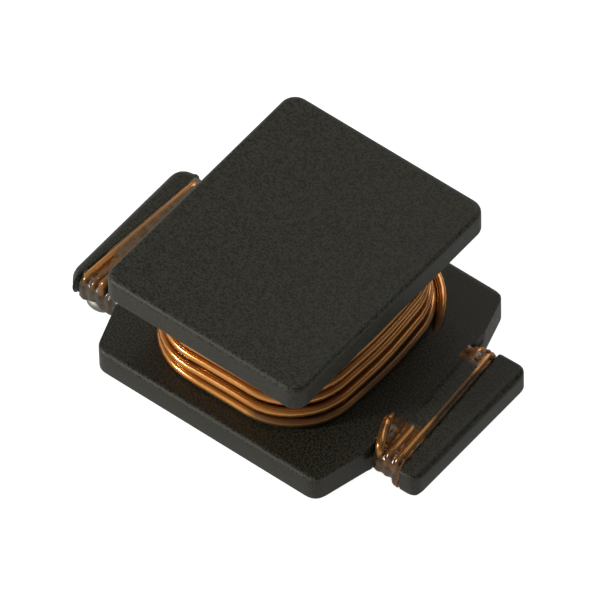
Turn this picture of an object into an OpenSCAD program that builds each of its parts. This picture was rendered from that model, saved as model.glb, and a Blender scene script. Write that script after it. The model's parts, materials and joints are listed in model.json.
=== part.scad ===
// Wire-wound power inductor for surface mounting. A one-piece ferrite drum core, with a top flange, a post
// and a base with two ears, carries one continuous enamelled copper wire. Each end of the wire drops through
// a notch, wraps the neck of an ear and is soldered under it.
// Millimetres. The origin is the middle of the seating plane, X runs from ear to ear and Z is up.

/* [Top flange] */
// Length of the top flange along X
flange_length = 2.53; // [2.4:0.01:2.8]
// Width of the top flange along Y
flange_width = 3.1; // [2.9:0.01:3.3]
// Thickness of the top flange
flange_thickness = 0.314; // [0.25:0.002:0.4]
// Corner radius of the top flange, seen from above
flange_corner_radius = 0.17; // [0.14:0.01:0.3]
// Radius of the rounded upper rim of the top flange
flange_rim_radius = 0.06; // [0.02:0.01:0.12]
// Radius of the rounded lower rim of the top flange
flange_lower_radius = 0.03; // [0.01:0.01:0.06]

/* [Base] */
// Length over both ears
overall_length = 4.5; // [4.4:0.01:4.9]
// Width of the base along Y
base_width = 3.11; // [2.9:0.01:3.3]
// Thickness of the base under the winding
base_thickness = 0.318; // [0.3:0.002:0.4]
// Length of the base along its long edges, measured between the sharp corners
base_edge_length = 2.91; // [2.7:0.01:3]
// Corner radius of the base, seen from above
base_corner_radius = 0.17; // [0.05:0.01:0.25]
// Width of the chamfer along the upper long edges of the base
base_chamfer = 0.05; // [0.02:0.01:0.1]
// Width of the base along Y where its flared sides reach the notches
flare_end_width = 1.74; // [1.7:0.01:1.9]

/* [Ears] */
// Width of an ear along Y
ear_width = 1.85; // [1.82:0.01:2]
// Width of an ear along Y at its inner side
ear_inner_width = 1.77; // [1.74:0.01:1.8]
// Distance along Y of an ear from the middle of the base: the right one lies to the back, the left one to the front
ear_stagger = 0.04; // [0:0.01:0.06]
// Height of an ear above the underside of the core
ear_height = 0.31; // [0.26:0.01:0.34]
// Thickness of an ear along X, from its outer face to the middle of its groove's slanted wall
ear_thickness = 0.314; // [0.3:0.002:0.36]
// Length of the straight end of an ear along X, measured between the sharp corners
ear_end_length = 0.19; // [0.17:0.01:0.2]
// Corner radius of an ear, seen from above
ear_corner_radius = 0.1; // [0.05:0.01:0.12]
// Radius of the rounded outer upper edge of an ear
ear_round = 0.08; // [0.04:0.01:0.15]
// Width of the neck along Y, between the floors of its notches
neck_width = 1.56; // [1.5:0.002:1.6]
// Thickness of the neck between its groove and its recess
neck_thickness = 0.155; // [0.1:0.005:0.16]
// Radius of the inner corners of a notch
notch_radius = 0.05; // [0.02:0.01:0.06]
// Radius of the edges at the mouth of a notch
notch_edge_radius = 0.04; // [0.02:0.01:0.06]

/* [Post] */
// Length of the post along X
post_length = 1.44; // [1.3:0.01:1.5]
// Width of the post along Y
post_width = 1.73; // [1.6:0.01:1.8]
// Corner radius of the post
post_corner_radius = 0.333; // [0.25:0.001:0.4]
// Height of the winding window between the base and the top flange
winding_window = 0.936; // [0.8:0.002:1.2]

/* [Winding] */
// Outer diameter of the enamelled wire
wire_diameter = 0.1; // [0.09:0.001:0.11]
// Number of full layers, an even number so that both ends of the wire leave at the base
layers = 4; // [2:2:4]
// Gap between neighbouring turns, at least
turn_gap = 0.015; // [0.008:0.001:0.02]
// Gap between neighbouring layers
layer_gap = 0.011; // [0.004:0.001:0.012]
// Gap between the post and the first layer
post_gap = 0.02; // [0.02:0.001:0.03]
// Gap between the wire and the flange or the base
window_gap = 0.005; // [0.004:0.001:0.01]

/* [Leads] */
// Number of times that the wire wraps a neck
neck_wraps = 2; // [1:1:2]
// Gap between the strands that lie side by side on a neck
strand_gap = 0.012; // [0.01:0.001:0.02]
// Gap between the outermost strand and the ear
groove_gap = 0.01; // [0.008:0.001:0.02]
// Distance that the groove of a neck reaches past its notches, towards the post
groove_lead_in = 0.03; // [0.02:0.01:0.06]
// Gap between a strand and the walls of its notch
notch_gap = 0.012; // [0.01:0.001:0.02]
// Distance along X from a notch's inner strand to the place where the lead turns towards it
lead_turn_x = 0.125; // [0.1:0.005:0.15]
// Distance along Y from a notch's strands to the place where the lead turns towards them
lead_turn_y = 0.23; // [0.2:0.005:0.26]
// Thickness of the varnish under the strands in the groove
varnish_bed = 0.02; // [0.015:0.001:0.03]
// Thickness of the varnish over the inner strands in the groove
varnish_cover = 0.012; // [0.01:0.001:0.02]
// Length of the varnish along the groove
varnish_length = 0.88; // [0.7:0.01:1.1]
// Gap between a strand and the varnish or solder that holds it
seat_gap = 0.003; // [0.002:0.001:0.004]

/* [Terminals] */
// Height of the core's underside above the seating plane
terminal_standoff = 0.08; // [0.06:0.005:0.1]
// Thickness of the solder under, over and beside the strands
solder_skin = 0.015; // [0.01:0.001:0.02]
// Distance along Y from the strands in a notch to the end of their terminal
terminal_setback = 0.1; // [0.095:0.001:0.15]
// Distance from the outer face of an ear to its terminal
terminal_inset = 0.15; // [0.1:0.01:0.2]
// Distance that a terminal reaches under the body of the base, past the recess
terminal_overlap = 0.05; // [0.03:0.01:0.1]
// Distance that the soldered tail of the wire reaches past the middle of the terminal
tail_reach = 0.55; // [0.3:0.01:0.6]
// Corner radius of a terminal, seen from above
terminal_corner_radius = 0.08; // [0.03:0.01:0.1]

/* [Hidden] */

corner_steps = 6;
rim_steps = 4;
arc_steps = 4;
wire_sides = 8;
slice = 0.001;
margin = 1;

wire_radius = wire_diameter / 2;
core_bottom = terminal_standoff;
base_top = core_bottom + base_thickness;
flange_bottom = base_top + winding_window;
flange_top = flange_bottom + flange_thickness;
ear_top = core_bottom + ear_height;

// Places of the strands that wrap a neck
ear_outer_x = overall_length / 2;
ear_inner_x = ear_outer_x - ear_thickness;
strand_pitch = wire_diameter + strand_gap;
groove_lean = strand_pitch / 2;
groove_x = ear_inner_x + groove_lean - groove_gap - wire_radius;
lead_x = groove_x - neck_wraps * strand_pitch;
notch_start_x = lead_x - wire_radius - notch_gap;
groove_start_x = notch_start_x - groove_lead_in;
strand_y = neck_width / 2 + notch_gap + wire_radius;
strand_low_z = solder_skin + wire_radius;
recess_ceiling = strand_low_z + wire_radius + solder_skin;
recess_start_x = lead_x - wire_radius - solder_skin;
recess_end_x = groove_x + wire_radius + solder_skin;
recess_middle_x = recess_end_x - strand_pitch;
terminal_end_y = strand_y - terminal_setback;
groove_floor = recess_ceiling + neck_thickness;
strand_top_z = groove_floor + varnish_bed + wire_radius;
wire_bend = 0.9 * wire_diameter;

// Heights of the winding
lead_z = base_top + window_gap + wire_radius;
lowest_turn_z = lead_z + wire_diameter + 2 * window_gap;
highest_turn_z = flange_bottom - window_gap - wire_radius;
turns = floor((highest_turn_z - lowest_turn_z) / (wire_diameter + turn_gap));

// Plan of the winding: every layer keeps the corner centres of the post
layer_step = wire_diameter + layer_gap;
corner_x = post_length / 2 - post_corner_radius;
corner_y = post_width / 2 - post_corner_radius;
corner_signs = [[-1, 1], [1, 1], [1, -1], [-1, -1]];
straights_before = [0, 2 * corner_x, 2 * corner_x + 2 * corner_y, 4 * corner_x + 2 * corner_y];

function unit(v) = v / norm(v);
function reversed(points) = [for (i = [len(points) - 1 : -1 : 0]) points[i]];
function mirrored(points, sign_x, sign_y) = [for (p = points) [p[0] * sign_x, p[1] * sign_y, p[2]]];
function moved_back(points, distance) = [for (p = points) p + [0, distance, 0]];

// Arc of radius r in the corner at b of the outline a, b, c
function corner_arc(a, b, c, r) =
    let (
        u = unit(a - b),
        v = unit(c - b),
        half = acos(u * v) / 2,
        centre = b + unit(u + v) * r / sin(half),
        first = b + u * r / tan(half) - centre,
        last = b + v * r / tan(half) - centre,
        start = atan2(first[1], first[0]),
        turn = (atan2(last[1], last[0]) - start + 540) % 360 - 180
    )
    [for (i = [0 : corner_steps])
        let (angle = start + turn * i / corner_steps)
        centre + r * [cos(angle), sin(angle)]];

// Outline whose corners, given as [x, y, radius], are rounded
function rounded(corners) =
    let (n = len(corners), plan = [for (p = corners) [p[0], p[1]]])
    [for (i = [0 : n - 1]) each corner_arc(plan[(i + n - 1) % n], plan[i], plan[(i + 1) % n], corners[i][2])];

function rounded_rectangle(length, width, r) =
    rounded([for (s = corner_signs) [s[0] * length / 2, s[1] * width / 2, r]]);

// Plan of the base: a quarter of its corners, from the long edge past the notch to the end of the ear. The inner
// side of the ear leans outwards by the given distance, and its parts lie farther from the middle by the shift.
function base_quarter(lean, shift) = concat(
    [[base_edge_length / 2, base_width / 2, base_corner_radius]],
    moved_back([
        [notch_start_x, flare_end_width / 2, notch_edge_radius],
        [notch_start_x, neck_width / 2, notch_radius],
        [ear_inner_x + lean, neck_width / 2, notch_radius],
        [ear_inner_x + lean, ear_inner_width / 2, notch_edge_radius],
        [ear_outer_x - ear_end_length, ear_width / 2, ear_corner_radius],
        [ear_outer_x, ear_width / 2, ear_corner_radius]
    ], shift)
);
base_outline = rounded(concat(
    base_quarter(-groove_lean, ear_stagger),
    reversed(mirrored(base_quarter(groove_lean, -ear_stagger), 1, -1)),
    mirrored(base_quarter(groove_lean, ear_stagger), -1, -1),
    reversed(mirrored(base_quarter(-groove_lean, -ear_stagger), -1, 1))
));

// Plan of the groove across a neck, whose outer wall slants with the strands
groove_plan = [
    [groove_start_x, -base_width / 2],
    [ear_inner_x + groove_lean, -base_width / 2],
    [ear_inner_x + groove_lean, -neck_width / 2],
    [ear_inner_x - groove_lean, neck_width / 2],
    [ear_inner_x - groove_lean, base_width / 2],
    [groove_start_x, base_width / 2]
];

// What is cut away above an ear, seen along Y
ear_cut = [
    [ear_inner_x - groove_lean - groove_gap, ear_top],
    for (i = [0 : corner_steps])
        let (angle = 90 * (1 - i / corner_steps))
        [ear_outer_x - ear_round * (1 - cos(angle)), ear_top - ear_round * (1 - sin(angle))],
    [ear_outer_x + margin, ear_top - ear_round],
    [ear_outer_x + margin, base_top + margin],
    [ear_inner_x - groove_lean - groove_gap, base_top + margin]
];

// Puts what is made for the right ear on the right or on the left
module at_ear(side) {
    translate([0, side * ear_stagger, 0])
        mirror([side < 0 ? 1 : 0, 0, 0])
            children();
}

// Plate with rounded corners, and with rounded rims of the given radii below and above
module rounded_plate(length, width, r, bottom, top, lower_rim, upper_rim) {
    hull() {
        for (i = [0 : rim_steps]) {
            inset = 1 - cos(90 * i / rim_steps);
            rise = sin(90 * i / rim_steps);
            translate([0, 0, bottom + lower_rim * (1 - rise)])
                linear_extrude(slice)
                    polygon(rounded_rectangle(length - 2 * lower_rim * inset, width - 2 * lower_rim * inset,
                                              r - lower_rim * inset));
            translate([0, 0, top - upper_rim * (1 - rise) - slice])
                linear_extrude(slice)
                    polygon(rounded_rectangle(length - 2 * upper_rim * inset, width - 2 * upper_rim * inset,
                                              r - upper_rim * inset));
        }
    }
}

module base() {
    difference() {
        translate([0, 0, core_bottom])
            linear_extrude(base_thickness)
                polygon(base_outline);
        for (side = [-1, 1]) {
            translate([0, side * base_width / 2, base_top])
                rotate([45, 0, 0])
                    cube([overall_length, base_chamfer * sqrt(2), base_chamfer * sqrt(2)], center = true);
            at_ear(side) {
                rotate([90, 0, 0])
                    linear_extrude(base_width, center = true)
                        polygon(ear_cut);
                translate([0, 0, groove_floor])
                    linear_extrude(margin)
                        polygon(groove_plan);
                translate([recess_start_x, -base_width / 2, core_bottom - margin])
                    cube([recess_middle_x - recess_start_x, base_width, margin + recess_ceiling - core_bottom]);
                translate([recess_start_x, -base_width / 2, core_bottom - margin])
                    cube([recess_end_x - recess_start_x, base_width / 2 + terminal_end_y,
                          margin + recess_ceiling - core_bottom]);
            }
        }
    }
}

// Pressed and sintered drum core, one piece
module ferrite_core() {
    color("#2a2a29") {
        base();
        translate([0, 0, base_top - base_thickness / 2])
            linear_extrude(base_thickness / 2 + winding_window + flange_thickness / 2)
                polygon(rounded_rectangle(post_length, post_width, post_corner_radius));
        rounded_plate(flange_length, flange_width, flange_corner_radius, flange_bottom, flange_top,
                      flange_lower_radius, flange_rim_radius);
    }
}

// The winding runs clockwise seen from above, and a turn starts at the back left corner of the post.
function layer_radius(layer) = post_corner_radius + post_gap + wire_radius + layer * layer_step;
function turn_length(layer) = 2 * PI * layer_radius(layer) + 4 * corner_x + 4 * corner_y;
function turn_share(layer, corner, arc) =
    ((corner + arc) * layer_radius(layer) * PI / 2 + straights_before[corner]) / turn_length(layer);
function layer_start_z(layer) = layer == 0 ? lead_z : layer % 2 == 1 ? highest_turn_z : lowest_turn_z;
function layer_end_z(layer) = layer % 2 == 0 ? highest_turn_z : lowest_turn_z;

// Centre of the wire at a share, 0 to 1, of the arc round one corner of one turn
function winding_point(layer, turn, corner, arc) =
    let (
        angle = 180 - 90 * (corner + arc),
        sign = corner_signs[corner],
        share = (turn + turn_share(layer, corner, arc)) / turns
    )
    [
        sign[0] * corner_x + layer_radius(layer) * cos(angle),
        sign[1] * corner_y + layer_radius(layer) * sin(angle),
        layer_start_z(layer) + (layer_end_z(layer) - layer_start_z(layer)) * share
    ];

// Direction, in degrees, of a line from a point that just passes a circle with the circle on its right,
// or on its left where the radius is negative
function passing_angle(point, centre, r) =
    let (to_centre = centre - point)
    atan2(to_centre[1], to_centre[0]) + asin(r / norm(to_centre));

// Shares of the first and the last corner arc at which the straight leads join the winding
lead_turn = [lead_x - lead_turn_x, -strand_y + lead_turn_y];
left_turn = [-lead_turn[0], lead_turn[1] - ear_stagger];
right_turn = [lead_turn[0], lead_turn[1] + ear_stagger];
start_heading = passing_angle(left_turn, [-corner_x, corner_y], layer_radius(0));
start_arc = (90 - start_heading) / 90;
finish_heading = passing_angle(right_turn, [corner_x, corner_y], -layer_radius(layers)) - 180;
finish_arc = -finish_heading / 90;
join_share = 0.05;

// The last part of a turn lies on the outer layer and sinks towards the base
last_drop = (lowest_turn_z - lead_z) / 3;
function last_turn_point(corner, arc) =
    let (p = winding_point(layers, 0, corner, arc), share = (corner + arc) / (1 + finish_arc))
    [p[0], p[1], lowest_turn_z - last_drop * share];

winding = [
    winding_point(0, 0, 0, start_arc),
    for (layer = [0 : layers - 1], turn = [0 : turns - 1], corner = [0 : 3], i = [0 : arc_steps])
        if (layer + turn + corner > 0 || i / arc_steps > start_arc + join_share)
            winding_point(layer, turn, corner, i / arc_steps),
    for (corner = [0, 1], i = [0 : arc_steps])
        if (corner == 0 || i / arc_steps < finish_arc - join_share)
            last_turn_point(corner, i / arc_steps),
    last_turn_point(1, finish_arc)
];

// Corners of the wire's way from the base's upper face round a neck, on the side where X is positive. The strands
// run straight under the neck, and move outwards by one place as they cross it in the groove.
function strand_x(wrap) = lead_x + wrap * strand_pitch;
neck_wrap = [
    [lead_turn[0], lead_turn[1], lead_z],
    [strand_x(0), -strand_y, lead_z],
    for (wrap = [1 : neck_wraps])
        each [
            [strand_x(wrap - 1), -strand_y, strand_low_z],
            [strand_x(wrap - 1), strand_y, strand_low_z],
            [strand_x(wrap - 1), strand_y, strand_top_z],
            [strand_x(wrap), -strand_y, strand_top_z]
        ],
    [strand_x(neck_wraps), -strand_y, strand_low_z],
    [strand_x(neck_wraps), tail_reach, strand_low_z]
];
right_wrap = moved_back(neck_wrap, ear_stagger);
left_wrap = reversed(moved_back(mirrored(neck_wrap, -1, 1), -ear_stagger));

// Way past the corner b from a to c, bent round
function bent(a, b, c) =
    let (u = unit(a - b) * wire_bend, v = unit(c - b) * wire_bend)
    [for (i = [0 : arc_steps]) let (t = i / arc_steps) b + u * (1 - t) * (1 - t) + v * t * t];
function bent_way(corners) =
    [for (i = [1 : len(corners) - 2]) each bent(corners[i - 1], corners[i], corners[i + 1])];

wire_way = concat(
    [left_wrap[0]],
    bent_way(concat(left_wrap, [winding[0]])),
    winding,
    bent_way(concat([winding[len(winding) - 1]], right_wrap)),
    [right_wrap[len(right_wrap) - 1]]
);

// Directions along the wire, and directions across it that are carried from ring to ring without twist
last_ring = len(wire_way) - 1;
steps = [for (i = [0 : last_ring - 1]) unit(wire_way[i + 1] - wire_way[i])];
along = [for (i = [0 : last_ring]) unit(steps[max(i - 1, 0)] + steps[min(i, last_ring - 1)])];
function across_to(direction, along_ring) = unit(direction - along_ring * (direction * along_ring));
across = [for (i = 0, n = [1, 0, 0]; i <= last_ring; i = i + 1, n = across_to(n, along[min(i, last_ring)])) n];

// One enamelled wire, from the solder of the left terminal to the solder of the right one
module coil_wire() {
    rings = [for (i = [0 : last_ring], k = [0 : wire_sides - 1])
        let (angle = 360 * k / wire_sides)
        wire_way[i] + wire_radius * (cos(angle) * across[i] + sin(angle) * cross(along[i], across[i]))];
    sides = [for (i = [0 : last_ring - 1], k = [0 : wire_sides - 1])
        let (ring = i * wire_sides, next = (k + 1) % wire_sides)
        each [[ring + k, ring + wire_sides + k, ring + next],
              [ring + next, ring + wire_sides + k, ring + wire_sides + next]]];
    first_end = [for (k = [0 : wire_sides - 1]) k];
    last_end = [for (k = [wire_sides - 1 : -1 : 0]) last_ring * wire_sides + k];
    color("#b8642c")
        polyhedron(points = rings, faces = concat([first_end], sides, [last_end]));
}

// Channel for a strand, between two points of one height
module strand_channel(first, last) {
    way = last - first;
    translate(first)
        rotate([0, 90, atan2(way[1], way[0])])
            cylinder(h = norm(way), r = wire_radius + seat_gap, $fn = 48);
}

// Solder-coated terminal under an ear. It fills the recess of the neck and holds the strands that pass there.
module terminal() {
    start_x = recess_start_x - terminal_overlap;
    end_x = ear_outer_x - terminal_inset;
    color("#c4c6c8")
        difference() {
            union() {
                translate([(start_x + end_x) / 2, 0, 0])
                    linear_extrude(terminal_standoff)
                        polygon(rounded_rectangle(end_x - start_x, 2 * terminal_end_y, terminal_corner_radius));
                translate([recess_start_x, -terminal_end_y, terminal_standoff / 2])
                    cube([recess_end_x - recess_start_x, 2 * terminal_end_y, recess_ceiling - terminal_standoff / 2]);
            }
            for (wrap = [0 : neck_wraps])
                strand_channel([strand_x(wrap), -strand_y, strand_low_z],
                               [strand_x(wrap), wrap < neck_wraps ? strand_y : tail_reach + seat_gap, strand_low_z]);
        }
}

module terminal_left() {
    at_ear(-1)
        terminal();
}

module terminal_right() {
    at_ear(1)
        terminal();
}

// Varnish that fixes the strands in the groove of a neck. It covers the inner ones, and the outermost strand
// lies bare in it.
module varnish() {
    half = varnish_length / 2;
    wall_lean = groove_lean * varnish_length / neck_width;
    lean = strand_pitch / 2 * half / strand_y;
    middle_x = strand_x(neck_wraps - 1) + varnish_cover;
    color("#5a3a1c")
        difference() {
            union() {
                translate([0, 0, groove_floor])
                    linear_extrude(strand_top_z - groove_floor)
                        polygon([[groove_start_x, -half], [ear_inner_x + wall_lean, -half],
                                 [ear_inner_x - wall_lean, half], [groove_start_x, half]]);
                translate([0, 0, groove_floor])
                    linear_extrude(strand_top_z + wire_radius + varnish_cover - groove_floor)
                        polygon([[groove_start_x, -half], [middle_x + lean, -half],
                                 [middle_x - lean, half], [groove_start_x, half]]);
            }
            for (wrap = [1 : neck_wraps])
                strand_channel([strand_x(wrap - 1), strand_y, strand_top_z], [strand_x(wrap), -strand_y, strand_top_z]);
        }
}

module varnish_left() {
    at_ear(-1)
        varnish();
}

module varnish_right() {
    at_ear(1)
        varnish();
}

ferrite_core();
coil_wire();
terminal_left();
terminal_right();
varnish_left();
varnish_right();
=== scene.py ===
import json
import math

import bmesh
import bpy
import numpy as np
from mathutils import Matrix, Vector, noise

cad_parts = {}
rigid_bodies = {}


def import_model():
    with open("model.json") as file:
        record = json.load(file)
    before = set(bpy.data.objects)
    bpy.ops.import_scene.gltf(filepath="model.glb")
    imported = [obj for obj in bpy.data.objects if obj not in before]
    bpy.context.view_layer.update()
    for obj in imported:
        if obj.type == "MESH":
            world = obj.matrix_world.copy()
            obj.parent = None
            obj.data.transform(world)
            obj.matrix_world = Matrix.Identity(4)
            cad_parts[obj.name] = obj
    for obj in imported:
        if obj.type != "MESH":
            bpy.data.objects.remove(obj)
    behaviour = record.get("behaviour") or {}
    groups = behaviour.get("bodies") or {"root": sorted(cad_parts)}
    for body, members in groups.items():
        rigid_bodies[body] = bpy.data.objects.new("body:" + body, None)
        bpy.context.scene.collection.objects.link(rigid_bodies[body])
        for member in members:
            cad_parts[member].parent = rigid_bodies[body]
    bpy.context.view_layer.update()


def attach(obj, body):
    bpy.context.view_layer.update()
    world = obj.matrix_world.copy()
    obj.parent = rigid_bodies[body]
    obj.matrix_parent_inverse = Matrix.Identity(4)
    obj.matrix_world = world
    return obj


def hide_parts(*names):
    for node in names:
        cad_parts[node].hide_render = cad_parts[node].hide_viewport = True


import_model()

scene = bpy.context.scene
scene.view_settings.view_transform = "Standard"
MM = 0.001


# Camera. Its place, turn and lens were fitted to the edges of the flange, the base and the ears,
# with the middle of the core's underside at a known pixel of the square picture.
picture_px = 600
sensor_mm = 36.0
focal_px = 13608.3
camera_mm = 138.54
azimuth = math.radians(39.46)
elevation = math.radians(50.86)
roll = math.radians(1.35)
middle_px = Vector((297.14, 338.52))
core_underside = Vector((0, 0, 0.08))
forward = Vector((-math.sin(azimuth) * math.cos(elevation), math.cos(azimuth) * math.cos(elevation),
                  -math.sin(elevation)))
level_right = forward.cross(Vector((0, 0, 1))).normalized()
level_down = forward.cross(level_right)
image_right = math.cos(roll) * level_right + math.sin(roll) * level_down
image_down = math.cos(roll) * level_down - math.sin(roll) * level_right
mm_per_px = camera_mm / focal_px
shift_right = (middle_px.x - picture_px / 2) * mm_per_px
shift_down = (middle_px.y - picture_px / 2) * mm_per_px
eye = core_underside - image_right * shift_right - image_down * shift_down - forward * camera_mm
camera_data = bpy.data.cameras.new("camera")
camera_data.sensor_width = sensor_mm
camera_data.lens = focal_px / picture_px * sensor_mm
camera_data.clip_start = 0.01
camera_data.clip_end = 10
camera = bpy.data.objects.new("camera", camera_data)
scene.collection.objects.link(camera)
turn = Matrix((image_right, -image_down, -forward)).transposed().to_4x4()
camera.matrix_world = Matrix.Translation(eye * MM) @ turn
scene.camera = camera


# Stage. A white floor and a white surrounding, as in a cut-out product picture. Reflected rays see a
# studio that is dim overhead and on the right, and a dimmer floor, so flat tops and turns' sides stay dark.
def linear(colour):
    """Linear RGBA of an sRGB colour such as #808080."""
    channels = [int(colour[i:i + 2], 16) / 255 for i in (1, 3, 5)]
    return tuple(c / 12.92 if c <= 0.04045 else ((c + 0.055) / 1.055) ** 2.4 for c in channels) + (1.0,)


def add_node(tree, kind, settings=(), links=()):
    """Adds a node, sets its properties and sockets, and links sockets to other nodes' outputs."""
    made = tree.nodes.new(kind)
    for name, value in dict(settings).items():
        if hasattr(made, str(name)):
            setattr(made, name, value)
        else:
            made.inputs[name].default_value = value
    for name, source in dict(links).items():
        tree.links.new(source, made.inputs[name])
    return made


def add_map_range(tree, value, source=(0.0, 1.0), target=(0.0, 1.0)):
    """Adds a node that maps one range of a value onto another, and returns its output."""
    limits = {"From Min": source[0], "From Max": source[1], "To Min": target[0], "To Max": target[1]}
    return add_node(tree, "ShaderNodeMapRange", limits, {"Value": value}).outputs["Result"]


def add_product(tree, first, second):
    """Adds a node that multiplies two outputs, and returns its output."""
    product = add_node(tree, "ShaderNodeMath", {"operation": "MULTIPLY"}, {0: first, 1: second})
    return product.outputs["Value"]


def add_colour_mix(tree, share, first, second):
    """Adds a mix of two colours, each an sRGB text or another node's output, and returns its output."""
    mix = add_node(tree, "ShaderNodeMix", {"data_type": "RGBA"}, {"Factor": share})
    for name, colour in (("A", first), ("B", second)):
        if isinstance(colour, str):
            mix.inputs[name].default_value = linear(colour)
        else:
            tree.links.new(colour, mix.inputs[name])
    return mix.outputs["Result"]


white = (1.0, 1.0, 1.0, 1.0)
world = bpy.data.worlds.new("white_studio")
world.use_nodes = True
tree = world.node_tree
tree.nodes.clear()
rays = add_node(tree, "ShaderNodeLightPath")
seen_direction = add_node(tree, "ShaderNodeTexCoord").outputs["Generated"]
direction = add_node(tree, "ShaderNodeSeparateXYZ", links={"Vector": seen_direction})
dim_overhead = add_map_range(tree, direction.outputs["Z"], (0.05, 0.6), (0.85, 0.3))
dim_right = add_map_range(tree, direction.outputs["X"], (-0.3, 0.6), (1.0, 0.25))
mirrored_studio = add_node(tree, "ShaderNodeBackground", {"Color": white},
                           {"Strength": add_product(tree, dim_overhead, dim_right)})
soft_light = add_node(tree, "ShaderNodeBackground", {"Color": white, "Strength": 0.28})
backdrop = add_node(tree, "ShaderNodeBackground", {"Color": white, "Strength": 1.0})
lit = add_node(tree, "ShaderNodeMixShader", links={"Fac": rays.outputs["Is Glossy Ray"],
                                                   1: soft_light.outputs["Background"],
                                                   2: mirrored_studio.outputs["Background"]})
seen = add_node(tree, "ShaderNodeMixShader", links={"Fac": rays.outputs["Is Camera Ray"],
                                                    1: lit.outputs["Shader"],
                                                    2: backdrop.outputs["Background"]})
add_node(tree, "ShaderNodeOutputWorld", links={"Surface": seen.outputs["Shader"]})
scene.world = world

floor_half = 0.03
seen_glow = 0.95
right_glow = 0.5
mirrored_glow = 0.45
floor_mesh = bpy.data.meshes.new("floor")
floor_mesh.from_pydata([(-floor_half, -floor_half, 0), (floor_half, -floor_half, 0),
                        (floor_half, floor_half, 0), (-floor_half, floor_half, 0)], [], [(0, 1, 2, 3)])
floor_material = bpy.data.materials.new("white_paper_sweep")
floor_material.use_nodes = True
tree = floor_material.node_tree
floor_shader = tree.nodes["Principled BSDF"]
floor_shader.inputs["Base Color"].default_value = (0.4, 0.4, 0.4, 1)
floor_shader.inputs["Roughness"].default_value = 0.9
floor_shader.inputs["Emission Color"].default_value = white
rays = add_node(tree, "ShaderNodeLightPath")
floor_place = add_node(tree, "ShaderNodeTexCoord").outputs["Object"]
spot = add_node(tree, "ShaderNodeSeparateXYZ", links={"Vector": floor_place})
glow = add_map_range(tree, spot.outputs["X"], (-2 * MM, 4 * MM), (seen_glow, right_glow))
for ray_kind, its_glow in (("Is Glossy Ray", mirrored_glow), ("Is Camera Ray", seen_glow)):
    choice = add_node(tree, "ShaderNodeMix", {"data_type": "FLOAT"},
                      {"Factor": rays.outputs[ray_kind], "A": glow})
    choice.inputs["B"].default_value = its_glow
    glow = choice.outputs["Result"]
tree.links.new(glow, floor_shader.inputs["Emission Strength"])
floor_mesh.materials.append(floor_material)
floor = bpy.data.objects.new("floor", floor_mesh)
scene.collection.objects.link(floor)


def add_softbox(name, place_mm, size_mm, watts):
    """Adds a square area light that faces the part."""
    light = bpy.data.lights.new(name, "AREA")
    light.shape = "SQUARE"
    light.size = size_mm * MM
    light.energy = watts
    lamp = bpy.data.objects.new(name, light)
    place = Vector(place_mm)
    facing = (-place).to_track_quat("-Z", "Y").to_matrix().to_4x4()
    lamp.matrix_world = Matrix.Translation(place * MM) @ facing
    scene.collection.objects.link(lamp)


add_softbox("key_back", (-4, 27, 26), 18, 0.0025)
add_softbox("fill_front_left", (-22, -26, 15), 5, 0.0085)
add_softbox("weak_back_right", (12, 20, 26), 12, 0.0005)
add_softbox("small_bright_lamp", (-9, 4, 30), 1.5, 0.00025)


# Ferrite core. Flange, post and base are lofted as closed shells of one piece, with the pressed part's
# rounded edges. The base is swept from ear to ear, and its width, top and underside change on the way.
def rounded_way(points, radii, steps=6):
    """Points of a polyline whose inner corners are rounded with the given radii."""
    way = [Vector(points[0])]
    for before, corner, after, radius in zip(points, points[1:], points[2:], radii):
        corner = Vector(corner)
        back = (Vector(before) - corner).normalized()
        ahead = (Vector(after) - corner).normalized()
        half = back.angle(ahead) / 2
        reach = radius / math.tan(half)
        for i in range(steps + 1):
            t = i / steps
            way.append(corner + back * reach * (1 - t) ** 2 + ahead * reach * t ** 2)
    way.append(Vector(points[-1]))
    return way


def rounded_rectangle(half_x, half_y, radius, steps=10):
    """Closed outline of a rectangle with round corners, counter-clockwise."""
    outline = []
    for quarter, (sign_x, sign_y) in enumerate(((1, 1), (-1, 1), (-1, -1), (1, -1))):
        for i in range(steps + 1):
            angle = math.radians(90 * (quarter + i / steps))
            outline.append((sign_x * (half_x - radius) + radius * math.cos(angle),
                            sign_y * (half_y - radius) + radius * math.sin(angle)))
    return outline


def add_loft(mesh, rings, values=None, layer=None):
    """Adds a closed shell through rings of equal count, with end faces and, for a layer, ring values."""
    made = []
    for step, ring in enumerate(rings):
        row = []
        for k, point in enumerate(ring):
            vertex = mesh.verts.new(Vector(point) * MM)
            if layer is not None:
                value = values[step]
                vertex[layer] = value[k] if hasattr(value, "__len__") else value
            row.append(vertex)
        made.append(row)
    count = len(rings[0])
    for low, high in zip(made, made[1:]):
        for k in range(count):
            after = (k + 1) % count
            mesh.faces.new((low[k], low[after], high[after], high[k]))
    mesh.faces.new(list(reversed(made[0])))
    mesh.faces.new(made[-1])


def add_mesh_piece(name, mesh):
    """Makes a piece of a finished mesh, with smooth faces that all look outwards."""
    bmesh.ops.recalc_face_normals(mesh, faces=mesh.faces)
    for face in mesh.faces:
        face.smooth = True
    data = bpy.data.meshes.new(name)
    mesh.to_mesh(data)
    mesh.free()
    piece = bpy.data.objects.new(name, data)
    scene.collection.objects.link(piece)
    return piece


def ramp(value, start, length):
    """0 before the start, 1 once the length is passed, linear between. A negative length runs downwards."""
    return min(max((value - start) / length, 0.0), 1.0)


def smooth_ramp(value, start, length):
    """A ramp with soft ends."""
    t = ramp(value, start, length)
    return t * t * (3 - 2 * t)


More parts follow.
